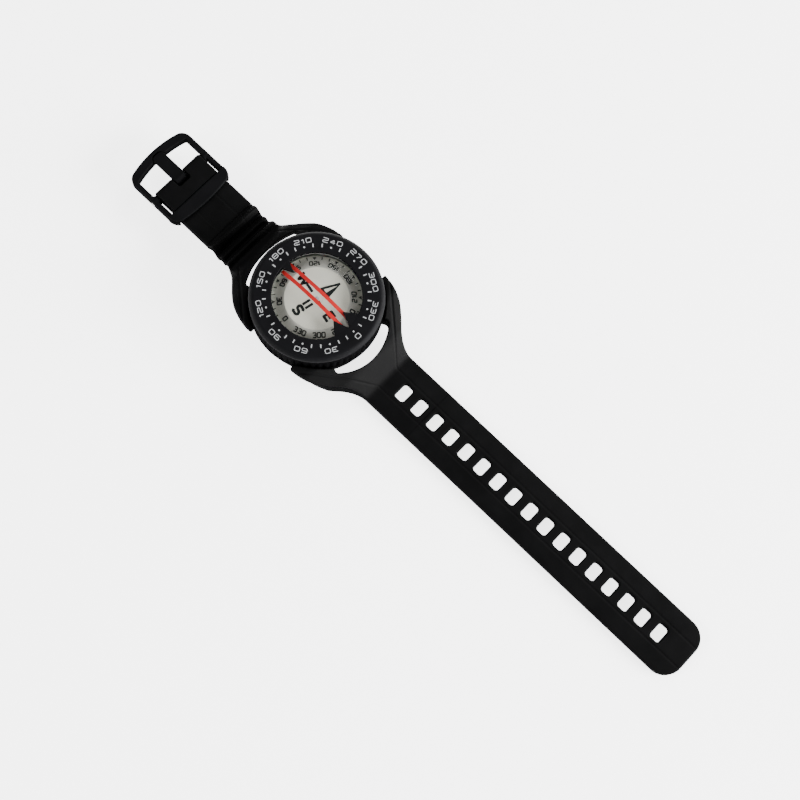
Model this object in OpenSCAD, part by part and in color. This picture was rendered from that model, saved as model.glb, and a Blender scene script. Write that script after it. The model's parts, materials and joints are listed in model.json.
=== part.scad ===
// Wrist-mounted dive compass: a liquid-filled capsule with a floating card, a rotating
// bezel, and a moulded rubber wrist strap with a pin buckle.
// Origin: centre of the module's flat back. +Y towards the buckle, +Z out of the dial.

/* [Bezel] */
// Outer diameter of the rotating bezel
bezel_d = 40; // [36:0.5:44]
// Height of the bezel's face above the back
bezel_top = 17.5; // [17:0.1:19]
// Diameter of the window in the bezel
window_d = 26.5; // [25:0.1:26.8]
// Number of grip notches round the bezel
grip_count = 60; // [36:1:90]

/* [Module] */
// Outer diameter of the housing's flange
flange_d = 40.1; // [39:0.1:40.2]
// Height of the flange's top face
flange_top = 8.8; // [8.6:0.1:9]
// Diameter of the floating card
card_d = 27.4; // [26:0.1:28]

/* [Strap] */
// Width of the strap
strap_w = 18.8; // [16:0.1:20]
// Thickness of the strap
strap_t = 2.5; // [2:0.1:2.8]
// Distance from one strap hole to the next
hole_pitch = 6.38; // [6:0.01:6.8]
// Distance from the dial's centre to the first hole
first_hole = 36.3; // [36:0.1:37]
// Distance from the dial's centre to the strap's tip
tip_reach = 149.6; // [148:0.1:152]

/* [Buckle] */
// Outer width of the buckle
buckle_w = 23.2; // [22.8:0.1:24]
// Distance from the dial's centre to the buckle's pin
pin_y = 57.5; // [57:0.1:58]
// Diameter of the buckle's pin
pin_d = 1.5; // [1.2:0.1:1.6]

/* [Hidden] */
$fn = 96;

rubber = [0.09, 0.09, 0.09];
black = [0.13, 0.13, 0.14];
steel = [0.72, 0.73, 0.75];
brass = [0.78, 0.62, 0.30];

// Strap
hole_size = [5.2, 3.4];
hole_r = 0.9;
hole_count = 17;
holes_per_section = 4;
long_hinge_y = -33.4;
crease_x = 3.9;
crease_drop = 0.35;
tip_r = 6;

// Short arm: its underside's height, its flex hinge, and its corrugations as y, z, radius
arm_z = 4.3;
short_hinge_y = 30.7;
band_start_y = 25;
ridges = [[27, 6.25, 1.85], [33.5, 6, 1.8]];
ridge_hollow = 1.2;
valley = [30.7, 7.2, 1.6];
valley_back = [4.6, 1.5];

// Cradle: a cup round the module, and two guards beside the bezel
cup_in = 17.2;
cup_out = 18.4;
cup_top = 7.5;
wing_top = 11.9;
wing_r = 20.1;
wing_centre_y = 7.7;
wing_draft = 1.9;
wing_draft_top = 9.3;
wing_in = 20.4;
wing_end_y = 8.6;
flank_sum = 35.7;
root_fillet = 5;
slot_half_angle = 31;
short_slot = [22.5, 0, 31];
long_slot = [16.7, 6.5, 42.6];
round_end_y = 24;
guard_reach = 26;

// Side profiles of the cradle as distance from the dial's centre and height
guard_side = [[0, 4.6], [0, 11.9], [14, 11.9]];
short_side = [[17.5, 11.9], [23.5, 9.6], [25.8, 7.2], [26, 7.2], [26, 4.3], [24.5, 4.3], [14, 4.6]];
long_side = [[23.5, 7.6], [29.5, 2.5], [33.4, 2.5], [33.4, 0], [26.5, 0], [20, 2.6], [14, 4.6]];

// Housing, bottom to top
flange_t = 1.1;
housing_r = 17.1;
cavity_r = 16;
neck_r = 17.3;
neck_top = 16.3;
recess_r = 16.4;
recess_h = 1.6;
vent_r = 0.75;
vent_circle = 10;

// Bezel
skirt_in = 17.45;
skirt_bottom = 9.1;
plate_t = 0.9;
bevel = 1.2;
grip_r = 0.8;
grip_depth = 0.45;
grip_top = 14.9;
tooth_z = [17.25, 17.85];
bezel_heading = -1.4;
tooth_tip_y = [-8.8, 9.6];

// Running ring and O-ring round the neck
o_ring = [16.98, 0.38, 13.5];
snap_ring = [16.85, 17.75, 10.5, 0.6];
snap_gap = 4;

// Lens
dome_top = 17.9;
dome_r = 46.1;
lens_t = 1;
lens_flange_r = 15.9;
lens_flange_in = 12.9;
lens_seat = 15;
lens_flange_t = 1;
lens_edge = 13.1;
clamp_t = 0.3;
clamp_in = 13.6;

// Capsule
base_in = 14.6;
base_r = 15.95;
base_bottom = 3.4;
base_floor = 1;
gasket_t = 0.6;
plug_r = 1.2;
plug_z = 8;
port_r = 1;
port_circle = 8;
membrane_t = 0.5;

// Pivot and card
tip_z = 13.9;
pin_r = 0.45;
pin_cone = 0.6;
jewel_r = 1.7;
jewel_top = 14.55;
jewel_bottom = 13.1;
card_bore = 1.75;
card_top = 14.6;
card_t = 0.4;
card_flat_r = 9.6;
card_rim_z = 12.9;
hub_r = 3;
card_heading = -12.5;
magnet = [12, 2, 1.8];
magnet_gap = 4.5;

// Buckle, heights above the short arm's underside
rail_t = 1.7;
frame_bottom = 0.3;
frame_t = 3;
frame_corner = 2.8;
keeper = [46.2, 50.8];
keeper_z = [2.9, 4.1];
keeper_bow_r = 60;
bar_y = 66.7;
bow_r = 36;
bow_top = 69.7;
pin_z = 1.8;
eye_r = 1.8;
eye_clear = 0.07;
eye_w = 18.2;
end_block = [51.2, 4.1];
notch = [4.6, 4];
boss_r = 1.65;
prong_w = 4;
prong_t = 1.15;
prong_z = 2.45;
prong_tip = 68;
prong_seat = [68.3, 2.4];

function hole_y(i) = -first_hole - hole_pitch * i;
function hinge_y(k) = k == 0 ? long_hinge_y
    : (hole_y(k * holes_per_section - 1) + hole_y(k * holes_per_section)) / 2;
function arc(c, r, a0, a1, n = 10) =
    [for (i = [0:n]) [c[0] + r * cos(a0 + (a1 - a0) * i / n), c[1] + r * sin(a0 + (a1 - a0) * i / n)]];

module ring(r_in, r_out, z0, z1) {
    translate([0, 0, z0]) difference() {
        cylinder(r = r_out, h = z1 - z0);
        translate([0, 0, -1]) cylinder(r = r_in, h = z1 - z0 + 2);
    }
}

module round_rect(size, r) {
    square([size[0] - 2 * r, size[1]], center = true);
    square([size[0], size[1] - 2 * r], center = true);
    for (x = [-1, 1], y = [-1, 1])
        translate([x * (size[0] / 2 - r), y * (size[1] / 2 - r)]) circle(r = r);
}

// Strap cross-section: flat underside, flat spine and a slight fall to each edge
module strap_bar(y0, y1, w = strap_w) {
    translate([0, y1, 0]) rotate([90, 0, 0]) linear_extrude(y1 - y0)
        polygon([
            [-w / 2, 0], [w / 2, 0], [w / 2, strap_t - crease_drop], [crease_x, strap_t],
            [-crease_x, strap_t], [-w / 2, strap_t - crease_drop]
        ]);
}

module strap_holes(first, last) {
    for (i = [first:last])
        translate([0, hole_y(i), -1]) linear_extrude(strap_t + 2) round_rect(hole_size, hole_r);
}

module strap_section(k) {
    difference() {
        strap_bar(hinge_y(k + 1), hinge_y(k));
        strap_holes(k * holes_per_section, (k + 1) * holes_per_section - 1);
    }
}

// Plan of one side of the cradle: 45 degree flanks with filleted roots
module flank_outline(y_end) {
    w = strap_w / 2;
    corner = flank_sum - w;
    run = root_fillet * tan(22.5);
    right = concat([[30, 0], [30, flank_sum - 30]], arc([w + root_fillet, corner + run], root_fillet, 225, 180));
    left = [for (i = [len(right) - 1:-1:0]) [-right[i][0], right[i][1]]];
    polygon(concat(right, [[w, y_end], [-w, y_end]], left));
}

// Profile of distance and height points, swept across the strap
module sweep_side(points) {
    translate([30, 0, 0]) rotate([90, 0, -90]) linear_extrude(60)
        polygon([for (p = points) [-p[0], p[1]]]);
}

module wing(side, y_end, slot) {
    difference() {
        intersection() {
            union() {
                translate([0, wing_centre_y, 0]) cylinder(r1 = wing_r - wing_draft, r2 = wing_r, h = wing_draft_top);
                translate([0, wing_centre_y, wing_draft_top]) cylinder(r = wing_r, h = wing_top);
                translate([-20, round_end_y, 0]) cube([40, y_end - round_end_y, wing_top]);
            }
            linear_extrude(wing_top + 1) flank_outline(y_end);
            sweep_side(concat(guard_side, side));
            translate([-30, 0, 0]) cube([60, y_end, wing_top]);
        }
        translate([0, 0, -1]) cylinder(r = cup_in + 0.5, h = 20);
        translate([0, 0, cup_top]) cylinder(r = wing_in, h = 20);
        translate([0, 0, -1]) linear_extrude(20) crescent(slot);
        translate([-30, -1, -1]) cube([60, wing_end_y + 1, 20]);
    }
}

// Crescent-shaped gap between the cup and the strap's root: outer radius, its centre's distance, half angle
module crescent(slot) {
    a = slot_half_angle;
    polygon(concat(
        arc([0, slot[1]], slot[0], 90 - slot[2], 90 + slot[2], 24),
        arc([0, 0], cup_out - 0.3, 90 + a, 90 - a, 24)
    ));
}

// Corrugated start of the short arm, between two distances from the dial's centre
module short_band(y0, y1) {
    intersection() {
        difference() {
            union() {
                translate([0, 0, arm_z]) strap_bar(band_start_y, pin_y - 2);
                for (r = ridges)
                    cross_bar(r[0], r[1], r[2]);
                cross_bar(valley[0], valley_back[0], valley_back[1]);
            }
            cross_bar(valley[0], valley[1], valley[2], 1);
            for (r = ridges)
                cross_bar(r[0], arm_z, ridge_hollow, 1);
        }
        translate([-20, y0, 0]) cube([40, y1 - y0, 20]);
    }
}

module cross_bar(y, z, r, extra = 0) {
    translate([-strap_w / 2 - extra, y, z]) rotate([0, 90, 0]) cylinder(r = r, h = strap_w + 2 * extra);
}

module strap_cradle() {
    color(rubber) {
        ring(cup_in, cup_out, 0, cup_top);
        difference() {
            union() {
                wing(short_side, guard_reach, short_slot);
                short_band(band_start_y, short_hinge_y);
            }
            cross_bar(ridges[0][0], arm_z, ridge_hollow, 1);
        }
        mirror([0, 1, 0]) wing(long_side, -long_hinge_y, long_slot);
    }
}

module strap_short() {
    color(rubber) difference() {
        union() {
            short_band(short_hinge_y, pin_y - 2.5);
            translate([0, 0, arm_z]) {
                translate([-eye_w / 2, end_block[0], 0]) cube([eye_w, pin_y - end_block[0], end_block[1]]);
                translate([-eye_w / 2, pin_y, pin_z]) rotate([0, 90, 0]) cylinder(r = eye_r, h = eye_w);
            }
        }
        translate([-20, pin_y, arm_z + pin_z]) rotate([0, 90, 0]) cylinder(r = pin_d / 2 + eye_clear, h = 40);
        translate([-notch[0] / 2, pin_y - notch[1] / 2 - 0.2, 0]) cube([notch[0], notch[1] + 3, 20]);
    }
}

module strap_long_1() { color(rubber) strap_section(0); }
module strap_long_2() { color(rubber) strap_section(1); }
module strap_long_3() { color(rubber) strap_section(2); }
module strap_long_4() {
    color(rubber) difference() {
        intersection() {
            strap_bar(-tip_reach, hinge_y(3));
            translate([0, -tip_reach / 2, -1]) linear_extrude(10)
                round_rect([strap_w, tip_reach], tip_r);
        }
        strap_holes(3 * holes_per_section, hole_count - 1);
    }
}

module buckle_outline() {
    length = bow_top + 3 - keeper[0];
    intersection() {
        translate([0, keeper[0] + length / 2]) round_rect([buckle_w, length], frame_corner);
        translate([0, bow_top - bow_r]) circle(r = bow_r, $fn = 180);
        translate([0, keeper[0] + keeper_bow_r]) circle(r = keeper_bow_r, $fn = 180);
    }
}

module buckle_plate() {
    inner = buckle_w / 2 - rail_t;
    difference() {
        union() {
            translate([0, 0, frame_bottom]) linear_extrude(frame_t) buckle_outline();
            translate([0, 0, frame_bottom]) linear_extrude(keeper_z[1] - frame_bottom)
                intersection() {
                    buckle_outline();
                    translate([-20, keeper[0]]) square([40, keeper[1] - keeper[0]]);
                }
        }
        translate([-inner, keeper[0] - 1, -1]) cube([2 * inner, keeper[1] - keeper[0] + 2, keeper_z[0] + 1]);
        translate([0, 0, -1]) linear_extrude(10) intersection() {
            translate([-inner, keeper[1]]) square([2 * inner, 30]);
            translate([0, bar_y - bow_r]) circle(r = bow_r, $fn = 180);
        }
        translate([-prong_w / 2 - 0.2, bar_y - 2, prong_seat[1]])
            cube([prong_w + 0.4, prong_seat[0] - bar_y + 2, 5]);
    }
}

// Plate, keeper and a boss round each end of the pin
module buckle_frame() {
    gap = eye_w / 2 + 0.1;
    color(steel) translate([0, 0, arm_z]) difference() {
        union() {
            buckle_plate();
            for (s = [0, 1])
                mirror([s, 0, 0]) translate([gap, pin_y, pin_z]) rotate([0, 90, 0])
                    cylinder(r = boss_r, h = buckle_w / 2 - rail_t / 2 - gap);
        }
        translate([-20, pin_y, pin_z]) rotate([0, 90, 0]) cylinder(d = pin_d, h = 40);
    }
}

module buckle_pin() {
    color(steel) translate([-buckle_w / 2, pin_y, arm_z + pin_z]) rotate([0, 90, 0])
        cylinder(d = pin_d, h = buckle_w);
}

module buckle_prong() {
    color(steel) translate([0, 0, arm_z]) difference() {
        union() {
            translate([-prong_w / 2, pin_y, pin_z]) rotate([0, 90, 0]) cylinder(r = eye_r, h = prong_w);
            translate([-prong_w / 2, pin_y, prong_z]) cube([prong_w, prong_tip - pin_y, prong_t]);
        }
        translate([-20, pin_y, pin_z]) rotate([0, 90, 0]) cylinder(r = pin_d / 2 + eye_clear, h = 40);
    }
}

module housing() {
    color(black) difference() {
        union() {
            cylinder(r = housing_r, h = flange_top);
            translate([0, 0, flange_top - flange_t]) cylinder(d = flange_d, h = flange_t);
            translate([0, 0, flange_top - flange_t]) cylinder(r = neck_r, h = neck_top - flange_top + flange_t);
        }
        translate([0, 0, -1]) cylinder(r = cavity_r, h = 30);
        translate([0, 0, -1]) cylinder(r = recess_r, h = recess_h + 1);
        ring(o_ring[0] - o_ring[1] - 0.05, neck_r + 1, o_ring[2] - 0.45, o_ring[2] + 0.45);
        ring(snap_ring[0] - 0.1, neck_r + 1, snap_ring[2] - 0.1, snap_ring[2] + snap_ring[3] + 0.1);
    }
}

module back_plate() {
    color(black) difference() {
        cylinder(r = recess_r, h = recess_h);
        for (a = [45:90:315])
            translate([vent_circle * cos(a), vent_circle * sin(a), -1]) cylinder(r = vent_r, h = recess_h + 2);
    }
}

// Pointed teeth on the bezel's inner edge: a pair that leaves a notch, and a single one
module index_teeth() {
    edge = window_d / 2 + 0.6;
    for (s = [-1, 1])
        polygon([
            [s * 1.9, tooth_tip_y[0]], [s * 1.45, -10], [s * 0.8, -12], [s * 0.4, -13], [s * 0.4, -edge],
            [s * 4.9, -13], [s * 4.9, -12.4]
        ]);
    polygon([[0, tooth_tip_y[1]], [-1.7, edge], [1.7, edge]]);
}

module bezel() {
    r = bezel_d / 2;
    color(black) rotate(bezel_heading) difference() {
        union() {
            rotate_extrude() polygon([
                [skirt_in, skirt_bottom], [r, skirt_bottom], [r, bezel_top - bevel],
                [r - bevel / 2, bezel_top - bevel / 4], [r - bevel, bezel_top],
                [window_d / 2, bezel_top], [window_d / 2, bezel_top - plate_t],
                [skirt_in, bezel_top - plate_t]
            ]);
            translate([0, 0, tooth_z[0]]) linear_extrude(tooth_z[1] - tooth_z[0]) index_teeth();
        }
        ring(skirt_in - 1, snap_ring[1] + 0.15, snap_ring[2] - 0.2, snap_ring[2] + snap_ring[3] + 0.2);
        for (i = [0:grip_count - 1])
            rotate(360 / grip_count * (i + 0.5)) translate([r + grip_r - grip_depth, 0, skirt_bottom - 1])
                cylinder(r = grip_r, h = grip_top - skirt_bottom + 1, $fn = 24);
    }
}

module bezel_o_ring() {
    color(rubber) rotate_extrude() translate([o_ring[0], o_ring[2]]) circle(r = o_ring[1], $fn = 24);
}

module bezel_retaining_ring() {
    color(steel) difference() {
        ring(snap_ring[0], snap_ring[1], snap_ring[2], snap_ring[2] + snap_ring[3]);
        translate([0, -snap_gap / 2, 0]) cube([30, snap_gap, 30]);
    }
}

module dome_lens() {
    centre = dome_top - dome_r;
    color([0.85, 0.92, 0.92, 0.35]) union() {
        intersection() {
            translate([0, 0, centre]) difference() {
                sphere(r = dome_r);
                sphere(r = dome_r - lens_t);
            }
            cylinder(r = lens_edge, h = 30);
        }
        ring(lens_flange_in, lens_flange_r, lens_seat, lens_seat + lens_flange_t);
    }
}

module lens_gasket() {
    color(rubber) ring(base_in - 0.3, lens_flange_r, lens_seat - gasket_t, lens_seat);
}

module lens_retaining_ring() {
    z0 = lens_seat + lens_flange_t;
    color(black) ring(clamp_in, cavity_r, z0, z0 + clamp_t);
}

module capsule_base() {
    color([0.9, 0.92, 0.88]) difference() {
        translate([0, 0, base_bottom]) cylinder(r = base_r, h = lens_seat - gasket_t - base_bottom);
        translate([0, 0, base_bottom + base_floor]) cylinder(r = base_in, h = 20);
        for (a = [45:90:315])
            translate([port_circle * cos(a), port_circle * sin(a), 0]) cylinder(r = port_r, h = 10);
        translate([base_in - 2, 0, plug_z]) rotate([0, 90, 0]) cylinder(r = plug_r, h = 5);
    }
}

module fill_plug() {
    color(brass) difference() {
        translate([base_in, 0, plug_z]) rotate([0, 90, 0]) cylinder(r = plug_r, h = 1.2);
        translate([base_in + 0.8, -0.2, plug_z - 2]) cube([2, 0.4, 4]);
    }
}

module diaphragm() {
    color(rubber) translate([0, 0, base_bottom - 1 - membrane_t]) cylinder(r = cavity_r - 0.1, h = membrane_t);
}

module diaphragm_ring() {
    color(steel) ring(13.6, cavity_r - 0.1, base_bottom - 1, base_bottom);
}

module pivot_base() {
    color(brass) ring(pin_r, 2.2, base_bottom + base_floor, base_bottom + base_floor + 2);
}

module pivot_pin() {
    color(steel) {
        translate([0, 0, base_bottom + base_floor]) cylinder(r = pin_r, h = tip_z - pin_cone - base_bottom - base_floor);
        translate([0, 0, tip_z - pin_cone]) cylinder(r1 = pin_r, r2 = 0.04, h = pin_cone);
    }
}

module jewel_cup() {
    color([0.62, 0.62, 0.64]) difference() {
        translate([0, 0, jewel_bottom]) cylinder(r = jewel_r, h = jewel_top - jewel_bottom);
        translate([0, 0, jewel_bottom]) cylinder(r1 = 0.9, r2 = 0.05, h = tip_z + 0.05 - jewel_bottom);
    }
}

module compass_card() {
    r = card_d / 2;
    color([0.86, 0.93, 0.82]) rotate_extrude() polygon([
        [card_bore, card_top - card_t], [card_flat_r - 0.1, card_top - card_t], [r - 0.1, card_rim_z - card_t],
        [r, card_rim_z], [card_flat_r, card_top], [card_bore, card_top]
    ]);
}

module card_hub() {
    color(brass) ring(card_bore, hub_r, jewel_bottom - 0.1, card_top - card_t);
}

module magnets() {
    color([0.35, 0.36, 0.38]) rotate(card_heading)
        for (s = [-1, 1])
            translate([0, s * magnet_gap, card_top - card_t - magnet[2] / 2]) cube(magnet, center = true);
}

strap_cradle();
strap_short();
strap_long_1();
strap_long_2();
strap_long_3();
strap_long_4();
buckle_frame();
buckle_pin();
buckle_prong();
housing();
back_plate();
bezel();
bezel_o_ring();
bezel_retaining_ring();
dome_lens();
lens_gasket();
lens_retaining_ring();
capsule_base();
fill_plug();
diaphragm();
diaphragm_ring();
pivot_base();
pivot_pin();
jewel_cup();
compass_card();
card_hub();
magnets();
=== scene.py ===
import json
import math

import bmesh
import bpy
import numpy as np
from mathutils import Matrix, Vector


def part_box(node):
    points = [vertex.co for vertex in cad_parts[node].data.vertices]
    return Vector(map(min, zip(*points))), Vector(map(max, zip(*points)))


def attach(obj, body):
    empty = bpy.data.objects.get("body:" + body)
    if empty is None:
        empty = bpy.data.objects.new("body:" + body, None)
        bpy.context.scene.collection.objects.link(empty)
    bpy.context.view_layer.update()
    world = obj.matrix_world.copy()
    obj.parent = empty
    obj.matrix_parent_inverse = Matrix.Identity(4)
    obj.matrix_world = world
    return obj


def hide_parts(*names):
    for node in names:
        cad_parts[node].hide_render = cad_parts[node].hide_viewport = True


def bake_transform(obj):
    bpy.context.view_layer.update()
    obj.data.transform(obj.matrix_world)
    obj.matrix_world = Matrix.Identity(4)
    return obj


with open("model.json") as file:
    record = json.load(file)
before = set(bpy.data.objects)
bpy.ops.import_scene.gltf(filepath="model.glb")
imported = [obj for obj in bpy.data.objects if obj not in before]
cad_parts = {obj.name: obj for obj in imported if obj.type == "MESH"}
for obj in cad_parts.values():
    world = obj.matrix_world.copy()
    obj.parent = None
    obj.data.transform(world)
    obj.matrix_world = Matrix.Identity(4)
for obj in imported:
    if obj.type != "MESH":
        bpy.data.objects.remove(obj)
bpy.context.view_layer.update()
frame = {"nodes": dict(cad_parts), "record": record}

MM = 0.001
# Faces with a less upright normal than these get the painted wall shade, a darker and less glossy copy of
# their material
SOFT_WALL_SLOPE, RING_WALL_SLOPE = 0.45, 0.3    # upright part of a face's normal below which it is a wall

# ---- Sizes in millimetres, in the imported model's frame ----------------------------------

LOW, HIGH = [[c / MM for c in corner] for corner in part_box("strap_long_4")]
STRAP_W = HIGH[0] - LOW[0]
TIP_Y = LOW[1]
TIP_R = 6.0
HOLE = (5.2, 3.4, 0.9)
HOLE_Y, HOLE_PITCH, HOLE_COUNT = -36.3, 6.38, 17
CREASE_X, SIDE_FALL = 3.9, 0.07

CUP_IN, CUP_OUT, CUP_TOP = 17.2, 18.4, 7.5
WING_R, WING_CENTRE_Y, WING_IN, WING_END_Y, FLANK_SUM = 20.1, 7.7, 20.4, 8.6, 35.7
WING_DRAFT, WING_DRAFT_TOP = 0.2, 9.3
SLOT_ANGLE = math.radians(31)
# The short arm's slot is a circle set off the axis, fitted to how much of it shows past the bezel
SHORT_SLOT_R, SHORT_SLOT_X, SHORT_SLOT_Y, SHORT_SLOT_Z = 25.9, 1.8, 4.0, 11.0
LONG_SLOT_R, LONG_SLOT_Y = 16.7, 6.5

# Top and underside of the moulding as (distance from the dial's centre, height)
SHORT_TOP = [(17.5, 11.9), (23.5, 9.6), (25.8, 7.2)]
SHORT_UNDER = [(14, 4.6), (24.5, 4.3)]
LONG_TOP = [(14, 11.9), (23.5, 7.6), (29.5, 2.5)]
LONG_UNDER = [(14, 4.6), (20, 2.6), (26.5, 0)]
ARM_Z = 4.3

# Flex corrugations of the short arm as (distance, half width, height)
INNER_RIDGE = (27.6, 0.9, 1.6)
VALLEYS = [(32.2, 0.95, -1.9), (29.5, 0.7, -1.5)]
OUTER_RIDGE, OUTER_RIDGE_FAR_W = (34.5, 0.95, 1.45), 1.2
OUTER_GROOVE = (36.3, 0.5, -0.45)

FACE_Z = 17.5
FLANGE_TOP = 8.8
BEZEL_R, WINDOW_R, SKIRT_IN, SKIRT_Z = 20.0, 13.25, 17.45, 9.1
GRIPS, GRIP_DEPTH, GRIP_TOP = 60, 0.45, 14.9
BEZEL_TURN = math.radians(1.4)
DOME_TOP, DOME_R, LENS_T = 17.9, 46.1, 1.0
CARD_TOP, CARD_FLAT_R, CARD_R, CARD_RIM_Z = 14.6, 9.6, 13.7, 12.9
CARD_NORTH = math.radians(-12.5)
LUBBER_X, LUBBER_W, LUBBER_Y = 1.5, 1.15, (-11.6, 12.7)

PIN_Y, PIN_Z, PIN_R, PIN_GAP = 57.5, ARM_Z + 1.8, 0.75, 0.07
EYE_R, EYE_W = 1.8, 18.2
END_Y, END_TOP = 50.84, ARM_Z + 4.1
BUCKLE_W, RAIL_T, KEEPER, KEEPER_BOW_R = 23.2, 1.7, (46.2, 50.8), 60.0
FRAME_Z, KEEPER_Z = (ARM_Z + 0.3, ARM_Z + 3.3), (ARM_Z + 2.9, ARM_Z + 4.1)
BAR_IN, BAR_OUT, BOW_R = 66.7, 69.7, 36.0
PRONG_HALF_W = 2.15
PRONG_Z, PRONG_TIP, SEAT_END = (ARM_Z + 2.45, ARM_Z + 3.6), 68.0, 68.3

HINGE_Y = {joint["name"]: joint["pos_m"][1] / MM for joint in frame["record"]["behaviour"]["joints"]}
HINGES = [HINGE_Y["strap_long_bend"]] + [HINGE_Y[f"strap_long_bend_{k}"] for k in (2, 3, 4)]

# ---- Distance functions ------------------------------------------------------------------


def fillet(a, b, r):
    """Union of two shapes with a round inner corner."""
    return np.maximum(r, np.minimum(a, b)) - np.hypot(np.maximum(r - a, 0), np.maximum(r - b, 0))


def cut(a, b, r):
    """Overlap of two shapes with a round outer edge."""
    return -fillet(-a, -b, r)


def soft_union(a, b, k):
    """Union that flows together over a width k."""
    h = np.clip(0.5 + 0.5 * (b - a) / k, 0, 1)
    return b * (1 - h) + a * h - k * h * (1 - h)


def soft_cut(a, b, k):
    return -soft_union(-a, -b, k)


def rect(x, y, half_x, half_y, r):
    dx = np.abs(x) - half_x + r
    dy = np.abs(y) - half_y + r
    return np.hypot(np.maximum(dx, 0), np.maximum(dy, 0)) + np.minimum(np.maximum(dx, dy), 0) - r


def between(v, low, high):
    return np.maximum(low - v, v - high)


def bump(v, centre, width):
    return np.exp(-((v - centre) / width) ** 2)


# ---- Meshes ------------------------------------------------------------------------------


def new_object(name, verts_mm, faces, material, smooth_deg=38):
    mesh = bpy.data.meshes.new(name)
    mesh.from_pydata([tuple(c * MM for c in v) for v in verts_mm], [], faces)
    obj = bpy.data.objects.new(name, mesh)
    bpy.context.collection.objects.link(obj)
    dress(obj, material, smooth_deg)
    return obj


def dress(obj, material, smooth_deg=38):
    obj.data.materials.clear()
    obj.data.materials.append(material)
    obj.data.shade_smooth()
    obj.data.set_sharp_from_angle(angle=math.radians(smooth_deg))


def contour(field, low, high, cell):
    """Closed quad mesh of field == 0 on a lattice fixed in space, so neighbouring pieces share points."""
    axes = [np.arange(math.floor(a / cell), math.ceil(b / cell) + 1) * cell for a, b in zip(low, high)]
    value = field(*np.meshgrid(*axes, indexing="ij"))
    value = np.where(value == 0, 1e-9, value)
    cells = tuple(n - 1 for n in value.shape)
    total = np.zeros(cells + (3,))
    count = np.zeros(cells)
    corner = lambda i, j, k: value[i:cells[0] + i, j:cells[1] + j, k:cells[2] + k]
    for axis in range(3):
        for a in (0, 1):
            for b in (0, 1):
                start = [a, b]
                start.insert(axis, 0)
                end = list(start)
                end[axis] = 1
                v0, v1 = corner(*start), corner(*end)
                crossing = (v0 < 0) != (v1 < 0)
                t = np.where(crossing, v0 / np.where(crossing, v0 - v1, 1), 0)
                for c in range(3):
                    total[..., c] += np.where(crossing, start[c] + (t if c == axis else 0), 0)
                count += crossing
    active = count > 0
    index = np.full(cells, -1)
    index[active] = np.arange(active.sum())
    place = np.argwhere(active) + total[active] / count[active][:, None]
    points = place * cell + np.array([axis[0] for axis in axes])
    points = settle(field, points, cell)
    faces = []
    inside = value < 0
    for axis in range(3):
        u, v = [c for c in range(3) if c != axis]
        first = np.take(inside, range(0, inside.shape[axis] - 1), axis)
        second = np.take(inside, range(1, inside.shape[axis]), axis)
        flips = np.argwhere(first != second)
        low_side = (flips[:, u] > 0) & (flips[:, v] > 0)
        flips = flips[low_side & (flips[:, u] < cells[u]) & (flips[:, v] < cells[v])]
        ring = []
        for du, dv in ((1, 1), (0, 1), (0, 0), (1, 0)):
            at = flips.copy()
            at[:, u] -= du
            at[:, v] -= dv
            ring.append(index[at[:, 0], at[:, 1], at[:, 2]])
        ring = np.stack(ring, 1)
        outward = first[flips[:, 0], flips[:, 1], flips[:, 2]]
        if axis == 1:
            outward = ~outward
        faces.append(np.where(outward[:, None], ring, ring[:, ::-1]))
    return points, np.concatenate(faces)


def settle(field, points, cell):
    """Move points onto the surface along the field's slope."""
    step = cell * 0.05
    for _ in range(3):
        here = field(*points.T)
        slope = np.stack([
            (field(*(points + shift).T) - field(*(points - shift).T)) / (2 * step)
            for shift in np.eye(3) * step
        ], 1)
        move = here[:, None] * slope / np.maximum((slope ** 2).sum(1), 0.05)[:, None]
        length = np.linalg.norm(move, axis=1)[:, None]
        points = points - move * np.minimum(1, 0.4 * cell / np.maximum(length, 1e-9))
    return points


def moulded(name, field, low, high, material, cell=0.25, slices=None):
    """A solid from a distance function; slices=(y0, y1) trims it flat at those places."""
    points, faces = contour(field, low, high, cell)
    mesh = bpy.data.meshes.new(name)
    mesh.vertices.add(len(points))
    mesh.vertices.foreach_set("co", (points * MM).ravel())
    mesh.loops.add(faces.size)
    mesh.loops.foreach_set("vertex_index", faces.ravel())
    mesh.polygons.add(len(faces))
    mesh.polygons.foreach_set("loop_start", np.arange(0, faces.size, 4))
    mesh.update(calc_edges=True)
    mesh.validate()
    if slices:
        trim(mesh, slices)
    obj = bpy.data.objects.new(name, mesh)
    bpy.context.collection.objects.link(obj)
    dress(obj, material, 50)
    # Steep faces of the rubber and the buckle get the painted wall shade
    if material in (RUBBER, BUCKLE):
        dull_walls(obj, SOFT_WALL_SLOPE)
    return obj


def dull_walls(obj, slope):
    """Painted shade on walls: faces steeper than the slope get a darker, nearly unreflecting copy of the
    material, to keep the floor's glare off walls.
    """
    obj.data.materials.append(WALL_SHADE)
    for face in obj.data.polygons:
        face.material_index = int(abs(face.normal.z) < slope)


def trim(mesh, slices):
    bm = bmesh.new()
    bm.from_mesh(mesh)
    for y, side in zip(slices, (-1, 1)):
        if y is None:
            continue
        geom = bm.verts[:] + bm.edges[:] + bm.faces[:]
        cut_line = bmesh.ops.bisect_plane(
            bm, geom=geom, dist=1e-7, plane_co=(0, y * MM, 0), plane_no=(0, side, 0), clear_outer=True)
        rim = [e for e in cut_line["geom_cut"] if isinstance(e, bmesh.types.BMEdge) and e.is_boundary]
        bmesh.ops.holes_fill(bm, edges=rim, sides=0)
    bmesh.ops.recalc_face_normals(bm, faces=bm.faces[:])
    bm.to_mesh(mesh)
    bm.free()


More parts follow.
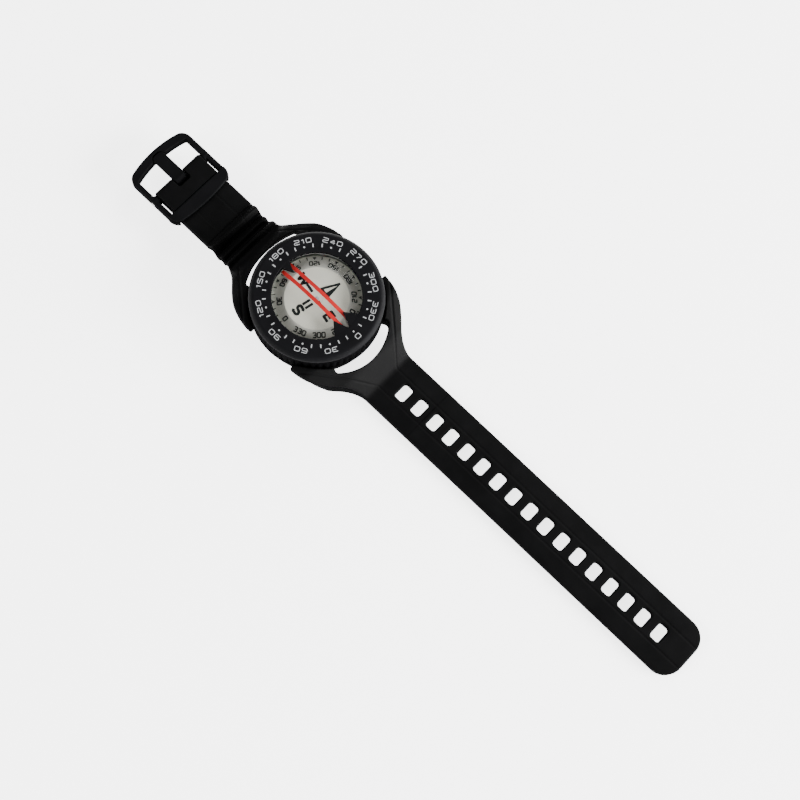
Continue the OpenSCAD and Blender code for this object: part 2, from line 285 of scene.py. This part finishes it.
def turned(name, profile, material, steps=192, smooth_deg=30, radius=None):
    """Closed profile of (r, z) points turned round the Z axis."""
    verts, faces = [], []
    n = len(profile)
    for i in range(steps):
        a = 2 * math.pi * i / steps
        for r, z, *grip in profile:
            if radius and grip:
                r = radius(a, r, grip[0])
            verts.append((r * math.cos(a), r * math.sin(a), z))
    for i in range(steps):
        for j in range(n):
            k = (j + 1) % n
            m = (i + 1) % steps
            faces.append((i * n + j, m * n + j, m * n + k, i * n + k))
    return new_object(name, verts, faces, material, smooth_deg)


def rounded(points, r, closed=False, steps=5):
    """Polyline with its corners rounded."""
    points = [Vector(p) for p in points]
    out = []
    n = len(points)
    for i, p in enumerate(points):
        if not closed and i in (0, n - 1):
            out.append(p)
            continue
        a, b = points[i - 1], points[(i + 1) % n]
        reach = min(r, (a - p).length / 2, (b - p).length / 2)
        start = p + (a - p).normalized() * reach
        end = p + (b - p).normalized() * reach
        for s in range(steps + 1):
            t = s / steps
            out.append(start * (1 - t) ** 2 + p * 2 * t * (1 - t) + end * t ** 2)
    return out


class Print:
    """Thin printed marks, built as closed ribbons and plates laid on a surface."""

    def __init__(self, height, place, low=-0.03, high=0.03):
        self.verts, self.faces = [], []
        self.height, self.place, self.low, self.high = height, place, low, high

    def add_ring(self, outline):
        start = len(self.verts)
        for p in outline:
            x, y = self.place(p[0], p[1])
            z = self.height(x, y)
            self.verts += [(x, y, z + self.low), (x, y, z + self.high)]
        return start

    def plate(self, outline):
        start, n = self.add_ring(outline), len(outline)
        self.faces.append([start + 2 * i + 1 for i in range(n)])
        self.faces.append([start + 2 * i for i in reversed(range(n))])
        for i in range(n):
            j = (i + 1) % n
            self.faces.append([start + 2 * i, start + 2 * j, start + 2 * j + 1, start + 2 * i + 1])

    def ribbon(self, line, width, closed=False):
        line = [Vector(p) for p in line]
        n = len(line)
        sides = []
        for i, p in enumerate(line):
            before = line[i - 1] if closed or i else p
            after = line[(i + 1) % n] if closed or i < n - 1 else p
            d0, d1 = (p - before), (after - p)
            d0 = d0.normalized() if d0.length > 1e-9 else d1.normalized()
            d1 = d1.normalized() if d1.length > 1e-9 else d0
            mean = (d0 + d1).normalized()
            normal = Vector((-mean.y, mean.x))
            scale = min(2, 1 / max(0.3, mean.dot(d0)))
            sides.append((p + normal * width / 2 * scale, p - normal * width / 2 * scale))
        left = self.add_ring([s[0] for s in sides])
        right = self.add_ring([s[1] for s in sides])
        for i in range(n if closed else n - 1):
            j = (i + 1) % n
            l0, l1, r0, r1 = left + 2 * i, left + 2 * j, right + 2 * i, right + 2 * j
            self.faces += [[l0 + 1, r0 + 1, r1 + 1, l1 + 1], [l0, l1, r1, r0],
                           [l0, l0 + 1, l1 + 1, l1], [r0, r1, r1 + 1, r0 + 1]]
        if not closed:
            e = 2 * (n - 1)
            self.faces += [[left, right, right + 1, left + 1],
                           [left + e, left + e + 1, right + e + 1, right + e]]

    def build(self, name, material):
        return new_object(name, self.verts, self.faces, material)


# Strokes of the digits in a unit box: (closed, points)
BOX = (True, [(0, 0), (1, 0), (1, 1), (0, 1)])
SIX = [(1, 1), (0, 1), (0, 0), (1, 0), (1, 0.54), (0, 0.54)]
DIGITS = {
    "0": [BOX],
    "1": [(False, [(0.1, 0.72), (0.42, 1), (0.42, 0)])],
    "2": [(False, [(0, 1), (1, 1), (1, 0.52), (0, 0.48), (0, 0), (1, 0)])],
    "3": [(False, [(0, 1), (1, 1), (1, 0), (0, 0)]), (False, [(0.3, 0.5), (0.95, 0.5)])],
    "4": [(False, [(0.74, 0), (0.74, 1), (0, 0.3), (1, 0.3)])],
    "5": [(False, [(1, 1), (0, 1), (0, 0.54), (1, 0.54), (1, 0), (0, 0)])],
    "6": [(False, SIX)],
    "7": [(False, [(0, 1), (1, 1), (0.35, 0)])],
    "8": [BOX, (False, [(0.05, 0.5), (0.95, 0.5)])],
    "9": [(False, [(1 - x, 1 - y) for x, y in SIX])],
}
DIGIT_WIDTH = {"1": 0.5}
LETTERS = {
    "S": [(False, [(1, 0.82), (0.85, 1), (0.15, 1), (0, 0.8), (0.15, 0.55),
                   (0.85, 0.45), (1, 0.2), (0.85, 0), (0.15, 0), (0, 0.18)])],
    "W": [(False, [(0, 1), (0.25, 0), (0.5, 0.85), (0.75, 0), (1, 1)])],
    "E": [(False, [(1, 1), (0, 1), (0, 0), (1, 0)]), (False, [(0, 0.5), (0.85, 0.5)])],
}


def write(sheet, text, at, up, size, stroke, gap, round_r):
    """Digits centred on a point of the sheet, with their tops along up."""
    up = Vector(up).normalized()
    right = Vector((up.y, -up.x))
    widths = [size[0] * DIGIT_WIDTH.get(c, 1) for c in text]
    x = -(sum(widths) + gap * (len(text) - 1)) / 2
    for c, w in zip(text, widths):
        for closed, strokes in {**DIGITS, **LETTERS}[c]:
            line = [Vector(at) + right * (x + u * size[0]) + up * (v - 0.5) * size[1]
                    for u, v in strokes]
            sheet.ribbon(rounded(line, round_r, closed), stroke, closed)
        x += w + gap


# ---- Materials ---------------------------------------------------------------------------


def material(name, base, rough, spread=0.15, grain=3000.0, bump_mm=0.01, patch=180.0, specular=0.5,
             **sockets):
    """Moulded or coated surface: patchy tone, uneven gloss and a fine grain."""
    mat = bpy.data.materials.new(name)
    mat.use_nodes = True
    nodes, links = mat.node_tree.nodes, mat.node_tree.links
    shader = nodes["Principled BSDF"]
    coords = nodes.new("ShaderNodeTexCoord")
    broad = nodes.new("ShaderNodeTexNoise")
    broad.inputs["Scale"].default_value = patch
    broad.inputs["Detail"].default_value = 5
    fine = nodes.new("ShaderNodeTexNoise")
    fine.inputs["Scale"].default_value = grain
    fine.inputs["Detail"].default_value = 2
    for noise in (broad, fine):
        links.new(coords.outputs["Object"], noise.inputs["Vector"])
    tone = nodes.new("ShaderNodeValToRGB")
    tone.color_ramp.elements[0].position = 0.3
    tone.color_ramp.elements[1].position = 0.7
    tone.color_ramp.elements[0].color = [c * (1 - spread) for c in base] + [1]
    tone.color_ramp.elements[1].color = [min(1, c * (1 + spread)) for c in base] + [1]
    links.new(broad.outputs["Fac"], tone.inputs["Fac"])
    links.new(tone.outputs["Color"], shader.inputs["Base Color"])
    gloss = nodes.new("ShaderNodeMapRange")
    gloss.inputs["To Min"].default_value = rough - 0.06
    gloss.inputs["To Max"].default_value = rough + 0.06
    links.new(broad.outputs["Fac"], gloss.inputs["Value"])
    links.new(gloss.outputs["Result"], shader.inputs["Roughness"])
    relief = nodes.new("ShaderNodeBump")
    relief.inputs["Strength"].default_value = 1
    relief.inputs["Distance"].default_value = bump_mm * MM
    links.new(fine.outputs["Fac"], relief.inputs["Height"])
    links.new(relief.outputs["Normal"], shader.inputs["Normal"])
    shader.inputs["Specular IOR Level"].default_value = specular
    for socket, value in sockets.items():
        shader.inputs[socket.replace("_", " ")].default_value = value
    return mat


RUBBER = material("strap_rubber", (0.0018, 0.0018, 0.0019), 0.62, 0.3, 2600, 0.012, specular=0.045)
BUCKLE = material("buckle_black", (0.0024, 0.0024, 0.0028), 0.66, 0.25, 2200, 0.006, specular=0.045)
PLASTIC = material("case_plastic", (0.0018, 0.0018, 0.0021), 0.7, 0.25, 2400, 0.006, specular=0.015)
BEZEL = material("bezel_plastic", (0.0026, 0.0026, 0.0032), 0.62, 0.25, 2800, 0.008, specular=0.065)
# Painted wall shade: a darker, nearly unreflecting copy of the black moulded materials, put on steep faces to
# keep the floor's glare off them
WALL_SHADE = material("dull_walls", (0.0016, 0.0016, 0.0018), 0.9, 0.25, 2600, 0.01, specular=0.004)
PAINT = material("bezel_paint", (0.3, 0.305, 0.31), 0.5, 0.06, 3000, 0.004)
CARD = material("card_luminous", (0.56, 0.555, 0.475), 0.6, 0.04, 2000, 0.003, specular=0.2)
SKIRT = material("card_skirt", (0.47, 0.465, 0.42), 0.5, 0.12, 2000, 0.004, specular=0.2)
INK = material("card_ink", (0.006, 0.008, 0.008), 0.5, 0.1, 2500, 0.002, specular=0.1)
SKIRT_INK = material("skirt_ink", (0.035, 0.037, 0.033), 0.5, 0.1, 2500, 0.002, specular=0.1)
RED = material("lubber_red", (0.33, 0.003, 0.003), 0.4, 0.08, 1500, 0.003, Alpha=0.97)
LENS = material("lens_clear", (0.02, 0.024, 0.022), 0.04, 0.01, 900, 0.0004, Alpha=0.06)
STEEL = material("pin_steel", (0.3, 0.3, 0.31), 0.4, 0.05, 2600, 0.004, Metallic=1.0)
BRASS = material("plug_brass", (0.62, 0.44, 0.17), 0.32, 0.06, 2600, 0.004, Metallic=1.0)
SEAL = material("seal_rubber", (0.012, 0.012, 0.012), 0.5, 0.2, 3000, 0.006)
JEWEL = material("jewel_grey", (0.30, 0.31, 0.32), 0.25, 0.06, 2500, 0.002)
PALE = material("capsule_white", (0.62, 0.65, 0.6), 0.4, 0.05, 1500, 0.004)
MAGNET = material("magnet_iron", (0.22, 0.22, 0.24), 0.4, 0.1, 2500, 0.004, Metallic=1.0)
ALU = material("ring_aluminium", (0.6, 0.6, 0.62), 0.35, 0.05, 2500, 0.004, Metallic=1.0)


# ---- Strap and cradle --------------------------------------------------------------------


def along(points, s):
    """Height at distance s on a polyline, with its corners eased."""
    distance, height = zip(*points)
    return sum(np.interp(s + d, distance, height) for d in (-0.9, -0.45, 0, 0.45, 0.9)) / 5


def corrugation(y):
    """Flex corrugations at the root of the short arm."""
    at, near_w, height = OUTER_RIDGE
    total = height * bump(y, at, np.where(y < at, near_w, OUTER_RIDGE_FAR_W))
    for at, width, height in [INNER_RIDGE, *VALLEYS, OUTER_GROOVE]:
        total = total + height * bump(y, at, width)
    return total


def top_height(x, y):
    s = np.abs(y)
    level = np.where(y > 0, along(SHORT_TOP, s) + corrugation(y), along(LONG_TOP, s))
    beyond = np.abs(x) - CREASE_X - np.maximum(0, 29.5 - s) * 0.85
    spread = np.clip((28 - s) / 6, 0, 1)
    fall = (SIDE_FALL + 0.1 * spread) * np.clip(beyond, 0, 5.5 + 6 * spread)
    return level - fall - (0.13 + 0.15 * spread) * bump(beyond, 0, 0.25 + 0.15 * spread)


def under_height(y):
    s = np.abs(y)
    return np.where(y > 0, along(SHORT_UNDER, s) + corrugation(y), along(LONG_UNDER, s))


def outline(x, y):
    """Plan shape of the wings and the arm that runs from them."""
    s = np.abs(y)
    disc = np.hypot(x, s - WING_CENTRE_Y) - WING_R
    flank = (np.abs(x) + s - FLANK_SUM) / math.sqrt(2)
    return soft_union(np.abs(x) - STRAP_W / 2, soft_cut(disc, flank, 1.0), 4.0)


def band_field(x, y, z):
    """The moulding without its cup, holes, tip and end block."""
    draft = WING_DRAFT * np.maximum(0, WING_DRAFT_TOP - z)
    plan = outline(x, y) + draft * np.clip((20 - np.abs(y)) / 5, 0, 1)
    return cut(cut(plan, z - top_height(x, y), 0.5), under_height(y) - z, 0.35)


def crescent(x, y, z):
    r = np.hypot(x, y)
    angle = np.arctan2(np.abs(x), np.abs(y))
    draft = WING_DRAFT * (SHORT_SLOT_Z - z)
    short_side = np.hypot(x - SHORT_SLOT_X, y + SHORT_SLOT_Y) - SHORT_SLOT_R - draft
    long_side = np.hypot(x, y + LONG_SLOT_Y) - LONG_SLOT_R
    outer = np.where(y > 0, short_side, long_side)
    return np.maximum(cut(outer, (angle - SLOT_ANGLE) * r, 0.9), CUP_OUT - r)


def cradle_field(x, y, z):
    r = np.hypot(x, y)
    wings = cut(band_field(x, y, z), WING_END_Y - np.abs(y), 0.5)
    wings = np.maximum(wings, CUP_IN + 0.3 - r)
    wings = cut(wings, -cut(r - WING_IN, CUP_TOP - z, 0.1), 0.4)
    wings = cut(wings, -crescent(x, y, z), 0.35)
    cup = cut(between(r, CUP_IN, CUP_OUT), between(z, 0, CUP_TOP), 0.2)
    return np.minimum(wings, cup)


def long_arm_field(x, y, z):
    corner_x = np.maximum(np.abs(x) - STRAP_W / 2 + TIP_R, 0)
    corner_y = np.maximum(TIP_Y + TIP_R - y, 0)
    tip = np.hypot(corner_x, corner_y) - TIP_R
    end = cut(cut(tip, z - top_height(x, y), 0.5), -z, 0.35)
    arm = np.where(y < TIP_Y + 12, end, band_field(x, y, z))
    nearest = np.clip(np.round((HOLE_Y - y) / HOLE_PITCH), 0, HOLE_COUNT - 1)
    hole = rect(x, y - HOLE_Y + nearest * HOLE_PITCH, HOLE[0] / 2, HOLE[1] / 2, HOLE[2])
    return cut(arm, -hole, 0.3)


def short_arm_field(x, y, z):
    band = np.maximum(band_field(x, y, z), y - PIN_Y)
    block = cut(cut(between(z, ARM_Z, END_TOP), y - PIN_Y - EYE_R, 1.6), np.abs(x) - EYE_W / 2, 0.4)
    block = cut(block, END_Y - y, 0.08)
    arm = np.minimum(band, block)
    arm = np.where(y > END_Y - 1, cut(arm, np.abs(x) - EYE_W / 2, 0.3), arm)
    arm = np.maximum(arm, PIN_R + PIN_GAP - np.hypot(y - PIN_Y, z - PIN_Z))
    notch = rect(x, y - PIN_Y - 3, 2.35, 5.2, 0.6)
    return cut(arm, -notch, 0.25)


def make_strap():
    cell = 0.25
    root_cut, neck_cut = -29.0, 25.5
    cradle = moulded("strap_cradle_moulding", cradle_field, (-21.2, -31, -0.6), (21.2, 27.5, 12.6),
                     RUBBER, cell, (root_cut, neck_cut))
    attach(cradle, "root")
    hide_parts("strap_cradle")
    section = 4
    for k, hinge in enumerate(HINGES):
        top = root_cut if k == 0 else (HINGES[k - 1] + hinge) / 2
        last = k == len(HINGES) - 1
        low = None if last else hinge - HOLE_PITCH * section / 2
        span = (low - 2 if low else TIP_Y - 1, top + 2)
        piece = moulded(f"strap_long_moulding_{k + 1}", long_arm_field, (-10.4, span[0], -0.6),
                        (10.4, span[1], 4.8), RUBBER, cell, (low, top))
        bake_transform(piece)
        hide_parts(f"strap_long_{k + 1}")
    arm = moulded("strap_short_moulding", short_arm_field, (-13, neck_cut - 2, 2.2), (13, 60.2, 9.4),
                  RUBBER, cell, (neck_cut, None))
    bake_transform(arm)
    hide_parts("strap_short")


# ---- Buckle ------------------------------------------------------------------------------


def bow(x, y, apex):
    return np.hypot(x, y - apex + BOW_R) - BOW_R


def buckle_field(x, y, z):
    keeper_edge = np.hypot(x, y - KEEPER[0] - KEEPER_BOW_R) - KEEPER_BOW_R
    outer = cut(cut(np.abs(x) - BUCKLE_W / 2, bow(x, y, BAR_OUT), 2.4), keeper_edge, 2.8)
    opening = cut(np.abs(x) - BUCKLE_W / 2 + RAIL_T, bow(x, y, BAR_IN), 0.35)
    opening = np.maximum(opening, KEEPER[0] - 4 - y)
    flat = cut(cut(outer, between(z, *FRAME_Z), 0.5), -opening, 0.3)
    post = cut(cut(outer, y - KEEPER[1], 0.15), between(z, FRAME_Z[0], KEEPER_Z[1]), 0.5)
    tunnel = cut(np.abs(x) - BUCKLE_W / 2 + RAIL_T, z - KEEPER_Z[0], 0.5)
    shape = fillet(flat, cut(post, -tunnel, 0.3), 0.3)
    seat = cut(rect(x, y - SEAT_END + 3, 2.2, 3, 1.8), PRONG_Z[0] - 0.1 - z, 0.3)
    shape = cut(shape, -seat, 0.35)
    from_pin = np.hypot(y - PIN_Y, z - PIN_Z)
    boss = cut(from_pin - 1.65, between(np.abs(x), EYE_W / 2 + 0.1, BUCKLE_W / 2 - 0.4), 0.15)
    return np.maximum(np.minimum(shape, boss), PIN_R - from_pin)


def prong_field(x, y, z):
    from_pin = np.hypot(y - PIN_Y, z - PIN_Z)
    hub = cut(from_pin - EYE_R + 0.05, np.abs(x) - PRONG_HALF_W, 0.35)
    taper = PRONG_HALF_W - 0.05 * np.clip((y - 58.5) / 2, 0, 1)
    arm = cut(np.abs(x) - taper, np.maximum(PIN_Y - y, y - PRONG_TIP), 1.4)
    arm = cut(arm, between(z, PRONG_Z[0], PRONG_Z[1] - 0.15 * np.clip((y - 65) / 3, 0, 1)), 0.35)
    return np.maximum(fillet(hub, arm, 0.5), PIN_R + PIN_GAP - from_pin)


def make_buckle():
    frame_piece = moulded("buckle_moulding", buckle_field, (-12.4, 45.4, 3.8), (12.4, 70.6, 9.2),
                          BUCKLE, 0.2)
    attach(frame_piece, "buckle")
    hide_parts("buckle_frame")
    prong = moulded("prong_moulding", prong_field, (-2.6, 55, 3.8), (2.6, 68.8, 8.8), BUCKLE, 0.14)
    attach(prong, "prong")
    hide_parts("buckle_prong")


# ---- Module ------------------------------------------------------------------------------


def arc_points(centre, r, a0, a1, steps):
    """Points of (r, z) on an arc, angles in degrees."""
    out = []
    for i in range(steps + 1):
        a = math.radians(a0 + (a1 - a0) * i / steps)
        out.append((centre[0] + r * math.cos(a), centre[1] + r * math.sin(a)))
    return out


def make_housing():
    outer, cavity, neck, neck_top, recess, recess_h = 17.1, 16.0, 17.3, 16.3, 16.4, 1.6
    rim, low = 20.05, FLANGE_TOP - 1.1
    profile = [(recess, 0), (outer - 0.3, 0), (outer, 0.3), (outer, low - 0.3), (outer + 0.3, low)]
    profile += arc_points((rim - 0.3, low + 0.3), 0.3, -90, 0, 5)
    profile += arc_points((rim - 0.3, FLANGE_TOP - 0.3), 0.3, 0, 90, 5)
    profile += [(neck + 0.3, FLANGE_TOP), (neck, FLANGE_TOP + 0.3), (neck, 10.4), (16.75, 10.4),
                (16.75, 11.2), (neck, 11.2), (neck, 13.05), (16.55, 13.05), (16.55, 13.95), (neck, 13.95),
                (neck, neck_top - 0.2), (neck - 0.2, neck_top), (cavity, neck_top), (cavity, recess_h),
                (recess, recess_h)]
    body = turned("housing_turned", profile, PLASTIC)
    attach(body, "root")
    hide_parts("housing")


def grip_radius(angle, r, weight):
    wave = abs(math.cos((angle + BEZEL_TURN) * GRIPS / 2))
    return r - GRIP_DEPTH * weight * (1 - wave) ** 0.8


def tooth_field(x, y, z):
    """Index teeth over the lens: a pair at zero and a single one opposite."""
    c, s = math.cos(BEZEL_TURN), math.sin(BEZEL_TURN)
    x, y = c * x - s * y, s * x + c * y
    arch = 1.9 + 0.36 * (y + 8.8) - 0.45 * np.maximum(0, -12.6 - y) ** 2
    inner = (arch - np.abs(x)) * 0.94
    outer = (np.abs(x) - 1.9) * 0.76 + (y + 8.8) * 0.65
    pair = cut(cut(inner, outer, 0.12), -13.7 - y, 0.1)
    single = cut(np.abs(x) * 0.916 + (9.6 - y) * 0.40, y - 13.6, 0.15)
    plan = np.minimum(np.where(y < 0, pair, 9.0), np.where(y > 0, single, 9.0))
    r = np.hypot(x, y)
    lift = DOME_TOP - DOME_R + np.sqrt(DOME_R ** 2 - np.minimum(r, 14) ** 2)
    return cut(plan, between(z, lift + 0.12, np.maximum(lift + 0.75, FACE_Z - 0.02)), 0.15)


def make_bezel():
    chamfer = 1.1
    profile = [(SKIRT_IN, SKIRT_Z, 0), (BEZEL_R - 0.5, SKIRT_Z, 0)]
    profile += [(r, z, 1) for r, z in arc_points((BEZEL_R - 0.4, SKIRT_Z + 0.4), 0.4, -80, 0, 4)]
    profile += [(BEZEL_R, z, 1) for z in np.linspace(SKIRT_Z + 0.6, GRIP_TOP - 0.25, 3)]
    profile += [(BEZEL_R, GRIP_TOP - 0.08, 0.8), (BEZEL_R, GRIP_TOP + 0.05, 0),
                (BEZEL_R, FACE_Z - chamfer - 0.2, 0),
                (BEZEL_R - 0.1, FACE_Z - chamfer + 0.1, 0), (BEZEL_R - 0.35, FACE_Z - 0.68, 0),
                (BEZEL_R - 0.65, FACE_Z - 0.38, 0),
                (BEZEL_R - 0.95, FACE_Z - 0.15, 0), (BEZEL_R - 1.3, FACE_Z - 0.03, 0),
                (BEZEL_R - 1.5, FACE_Z, 0),
                (BEZEL_R - 2.0, FACE_Z, 0), (WINDOW_R + 0.5, FACE_Z, 0)]
    profile += [(r, z, 0) for r, z in arc_points((WINDOW_R + 0.22, FACE_Z - 0.22), 0.22, 90, 180, 4)]
    profile += [(WINDOW_R, 16.65, 0), (WINDOW_R + 0.1, 16.6, 0), (SKIRT_IN, 16.6, 0), (SKIRT_IN, 11.4, 0),
                (17.9, 11.4, 0), (17.9, 10.2, 0), (SKIRT_IN, 10.2, 0)]
    ring = turned("bezel_ring", profile, BEZEL, GRIPS * 12, 32, grip_radius)
    teeth = moulded("bezel_teeth", tooth_field, (-6, -14, 16), (6, 14, 18.4), BEZEL, 0.12)
    # Steep faces of the ring, the grip teeth among them, get the painted wall shade
    dull_walls(ring, RING_WALL_SLOPE)
    for piece in (ring, teeth):
        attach(piece, "bezel")
    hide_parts("bezel")


def make_bezel_print():
    sheet = Print(lambda x, y: FACE_Z, lambda x, y: (x, y), -0.04, 0.035)

    def direction(degrees):
        angle = math.radians(degrees) + BEZEL_TURN
        return Vector((-math.sin(angle), -math.cos(angle)))

    for number in range(0, 360, 30):
        out = direction(number)
        write(sheet, str(number), out * 17.05, out, (1.5, 1.32), 0.23, 0.66, 0.42)
        sheet.plate([out * 15.2 + Vector((0.28 * math.cos(a), 0.28 * math.sin(a)))
                     for a in np.linspace(0, 2 * math.pi, 16, endpoint=False)])
        for step in (10, 20):
            out = direction(number + step)
            sheet.ribbon([out * 14.85, out * 15.95], 0.34)
    marks = sheet.build("bezel_numbers", PAINT)
    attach(marks, "bezel")


def dome_z(x, y, r=DOME_R):
    return DOME_TOP - DOME_R + math.sqrt(r * r - x * x - y * y)


def make_lens():
    edge, flange, seat, thick, inner = 13.1, 15.9, 15.0, 1.0, 12.9
    top = [(edge * t, dome_z(edge * t, 0)) for t in np.linspace(0.004, 1, 26)]
    under = [(inner * t, dome_z(inner * t, 0, DOME_R - LENS_T)) for t in np.linspace(1, 0.004, 26)]
    rim = [(flange - 0.15, seat + thick), (flange, seat + thick - 0.15), (flange, seat), (inner, seat)]
    profile = top + rim + under
    lens = turned("lens_dome", profile, LENS, 128)
    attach(lens, "root")
    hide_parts("dome_lens")
    lines = Print(lambda x, y: dome_z(x, y), lambda x, y: (x, y), 0.005, 0.035)
    for side in (-1, 1):
        route = [(side * LUBBER_X, y) for y in np.linspace(*LUBBER_Y, 40)]
        lines.ribbon(route, LUBBER_W)
    red = lines.build("lubber_lines", RED)
    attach(red, "root")


def card_z(x, y):
    r = math.hypot(x, y)
    slope = (CARD_TOP - CARD_RIM_Z) / (CARD_R - CARD_FLAT_R)
    return CARD_TOP - max(0, r - CARD_FLAT_R) * slope


def make_card():
    bore, thick = 1.75, 0.4
    flat = [(bore, CARD_TOP - thick), (bore, CARD_TOP), (bore + 0.2, CARD_TOP), (CARD_FLAT_R - 0.3, CARD_TOP),
            (CARD_FLAT_R, CARD_TOP - 0.02), (CARD_FLAT_R, CARD_TOP - thick)]
    skirt = [(CARD_FLAT_R, CARD_TOP - thick), (CARD_FLAT_R, CARD_TOP - 0.02),
             (CARD_R - 0.1, CARD_RIM_Z + 0.04), (CARD_R, CARD_RIM_Z - 0.05),
             (CARD_R - 0.1, CARD_RIM_Z - thick)]
    disc = turned("card_disc", flat[::-1], CARD)
    edge = turned("card_skirt_ring", skirt[::-1], SKIRT)
    for piece in (disc, edge):
        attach(piece, "card")
    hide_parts("compass_card")
    c, s = math.cos(CARD_NORTH), math.sin(CARD_NORTH)
    north = lambda u, v: (c * u - s * v, s * u + c * v)
    ink = Print(card_z, north, -0.02, 0.05)
    ink.plate([(2.9, -0.1), (2.9, -1.75), (8.4, -0.05)])
    ink.ribbon([(2.9, 0.0), (2.9, 1.7), (8.2, 0.05)], 0.7)
    for side in (-1, 1):
        ink.ribbon([(-4.5, side * 0.72), (-1.9, side * 0.72)], 0.75)
    ink.ribbon([(0, 2.4), (0, 5.3)], 0.8)
    ink.ribbon([(0, -0.9), (0, -2.4)], 0.5)
    write(ink, "S", (-6.5, 0), (1, 0), (2.0, 2.7), 0.85, 0, 0.5)
    write(ink, "W", (0, 7.0), (1, 0), (3.4, 2.6), 0.8, 0, 0.1)
    write(ink, "E", (0, -6.7), (1, 0), (2.0, 2.7), 0.8, 0, 0.1)
    print_piece = ink.build("card_print", INK)
    scale = Print(card_z, north, -0.02, 0.05)
    for number in range(0, 360, 10):
        a = math.pi - math.radians(number)
        out = Vector((math.cos(a), math.sin(a)))
        side = Vector((-out.y, out.x))
        if number % 30 == 0:
            write(scale, str(number), out * 11.0, -out, (0.92, 1.3), 0.36, 0.42, 0.25)
            scale.plate([out * 12.2, out * 13.2 - side * 0.6, out * 13.2 + side * 0.6])
        else:
            scale.ribbon([out * 12.3, out * 13.3], 0.3)
    scale_piece = scale.build("card_scale", SKIRT_INK)
    for piece in (print_piece, scale_piece):
        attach(piece, "card")
    dome = [(0.01, CARD_TOP - 0.2), (0.62, CARD_TOP - 0.2), (0.62, CARD_TOP), (0.5, CARD_TOP + 0.08),
            (0.01, CARD_TOP + 0.14)]
    stone = turned("jewel_stone", dome, JEWEL, 48)
    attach(stone, "gimbal")


def dress_cad_nodes():
    looks = {
        "buckle_pin": STEEL, "pivot_pin": STEEL, "bezel_retaining_ring": STEEL, "back_plate": PLASTIC,
        "lens_retaining_ring": PLASTIC, "bezel_o_ring": SEAL, "lens_gasket": SEAL, "diaphragm": SEAL,
        "capsule_base": PALE, "fill_plug": BRASS, "pivot_base": BRASS, "card_hub": BRASS, "jewel_cup": CARD,
        "magnets": MAGNET, "diaphragm_ring": ALU,
    }
    for name, look in looks.items():
        obj = frame["nodes"][name]
        for place in obj.material_slots:
            place.material = look


# ---- Stage -------------------------------------------------------------------------------


def area_light(name, at, aim, size, power, colour=(1, 1, 1)):
    data = bpy.data.lights.new(name, "AREA")
    data.shape = "RECTANGLE"
    data.size, data.size_y = size
    data.energy = power
    data.color = colour
    light = bpy.data.objects.new(name, data)
    light.location = at
    light.rotation_euler = (Vector(aim) - Vector(at)).to_track_quat("-Z", "Y").to_euler()
    bpy.context.collection.objects.link(light)


def make_stage():
    mesh = bpy.data.meshes.new("floor")
    half = 3.0
    corners = [(-half, -half, 0), (half, -half, 0), (half, half, 0), (-half, half, 0)]
    mesh.from_pydata(corners, [], [(0, 1, 2, 3)])
    floor = bpy.data.objects.new("floor", mesh)
    floor.location.z = -0.0001
    bpy.context.collection.objects.link(floor)
    glow = {"Emission_Color": (1, 1, 1, 1), "Emission_Strength": 3.3}
    dress(floor, material("floor_pale", (0.93, 0.93, 0.93), 0.8, 0.01, 40, 0.0, specular=0.1, **glow))
    world = bpy.data.worlds.new("studio")
    bpy.context.scene.world = world
    world.use_nodes = True
    world.node_tree.nodes["Background"].inputs["Color"].default_value = (1, 1, 1, 1)
    world.node_tree.nodes["Background"].inputs["Strength"].default_value = 0.22
    area_light("key", (0.5, -1.0, 0.34), (0, -0.03, 0), (0.8, 0.5), 64)
    area_light("fill", (0.95, 0.2, 0.6), (0, -0.03, 0), (0.6, 0.8), 11)
    area_light("back", (-0.75, 0.45, 0.6), (0, 0, 0), (0.8, 0.4), 14)


def make_camera():
    """The photograph's viewpoint, in degrees and metres."""
    azimuth, elevation, roll = (math.radians(a) for a in (-58.933, 75.896, 12.959))
    distance, target = 0.4583, Vector((-0.00196, -0.03664, 0))
    back = Vector((math.sin(azimuth) * math.cos(elevation), -math.cos(azimuth) * math.cos(elevation),
                   math.sin(elevation)))
    right = Vector((math.cos(azimuth), math.sin(azimuth), 0))
    up = back.cross(right)
    turned_right = right * math.cos(roll) + up * math.sin(roll)
    turned_up = -right * math.sin(roll) + up * math.cos(roll)
    data = bpy.data.cameras.new("camera")
    data.sensor_width = 36
    data.lens = 69.07
    data.clip_start = 0.01
    camera = bpy.data.objects.new("camera", data)
    camera.matrix_world = Matrix((
        (turned_right.x, turned_up.x, back.x, 0), (turned_right.y, turned_up.y, back.y, 0),
        (turned_right.z, turned_up.z, back.z, 0), (0, 0, 0, 1)
    ))
    camera.location = target + back * distance
    bpy.context.collection.objects.link(camera)
    bpy.context.scene.camera = camera


make_camera()
make_strap()
make_buckle()
make_housing()
make_bezel()
make_bezel_print()
make_lens()
make_card()
dress_cad_nodes()
make_stage()
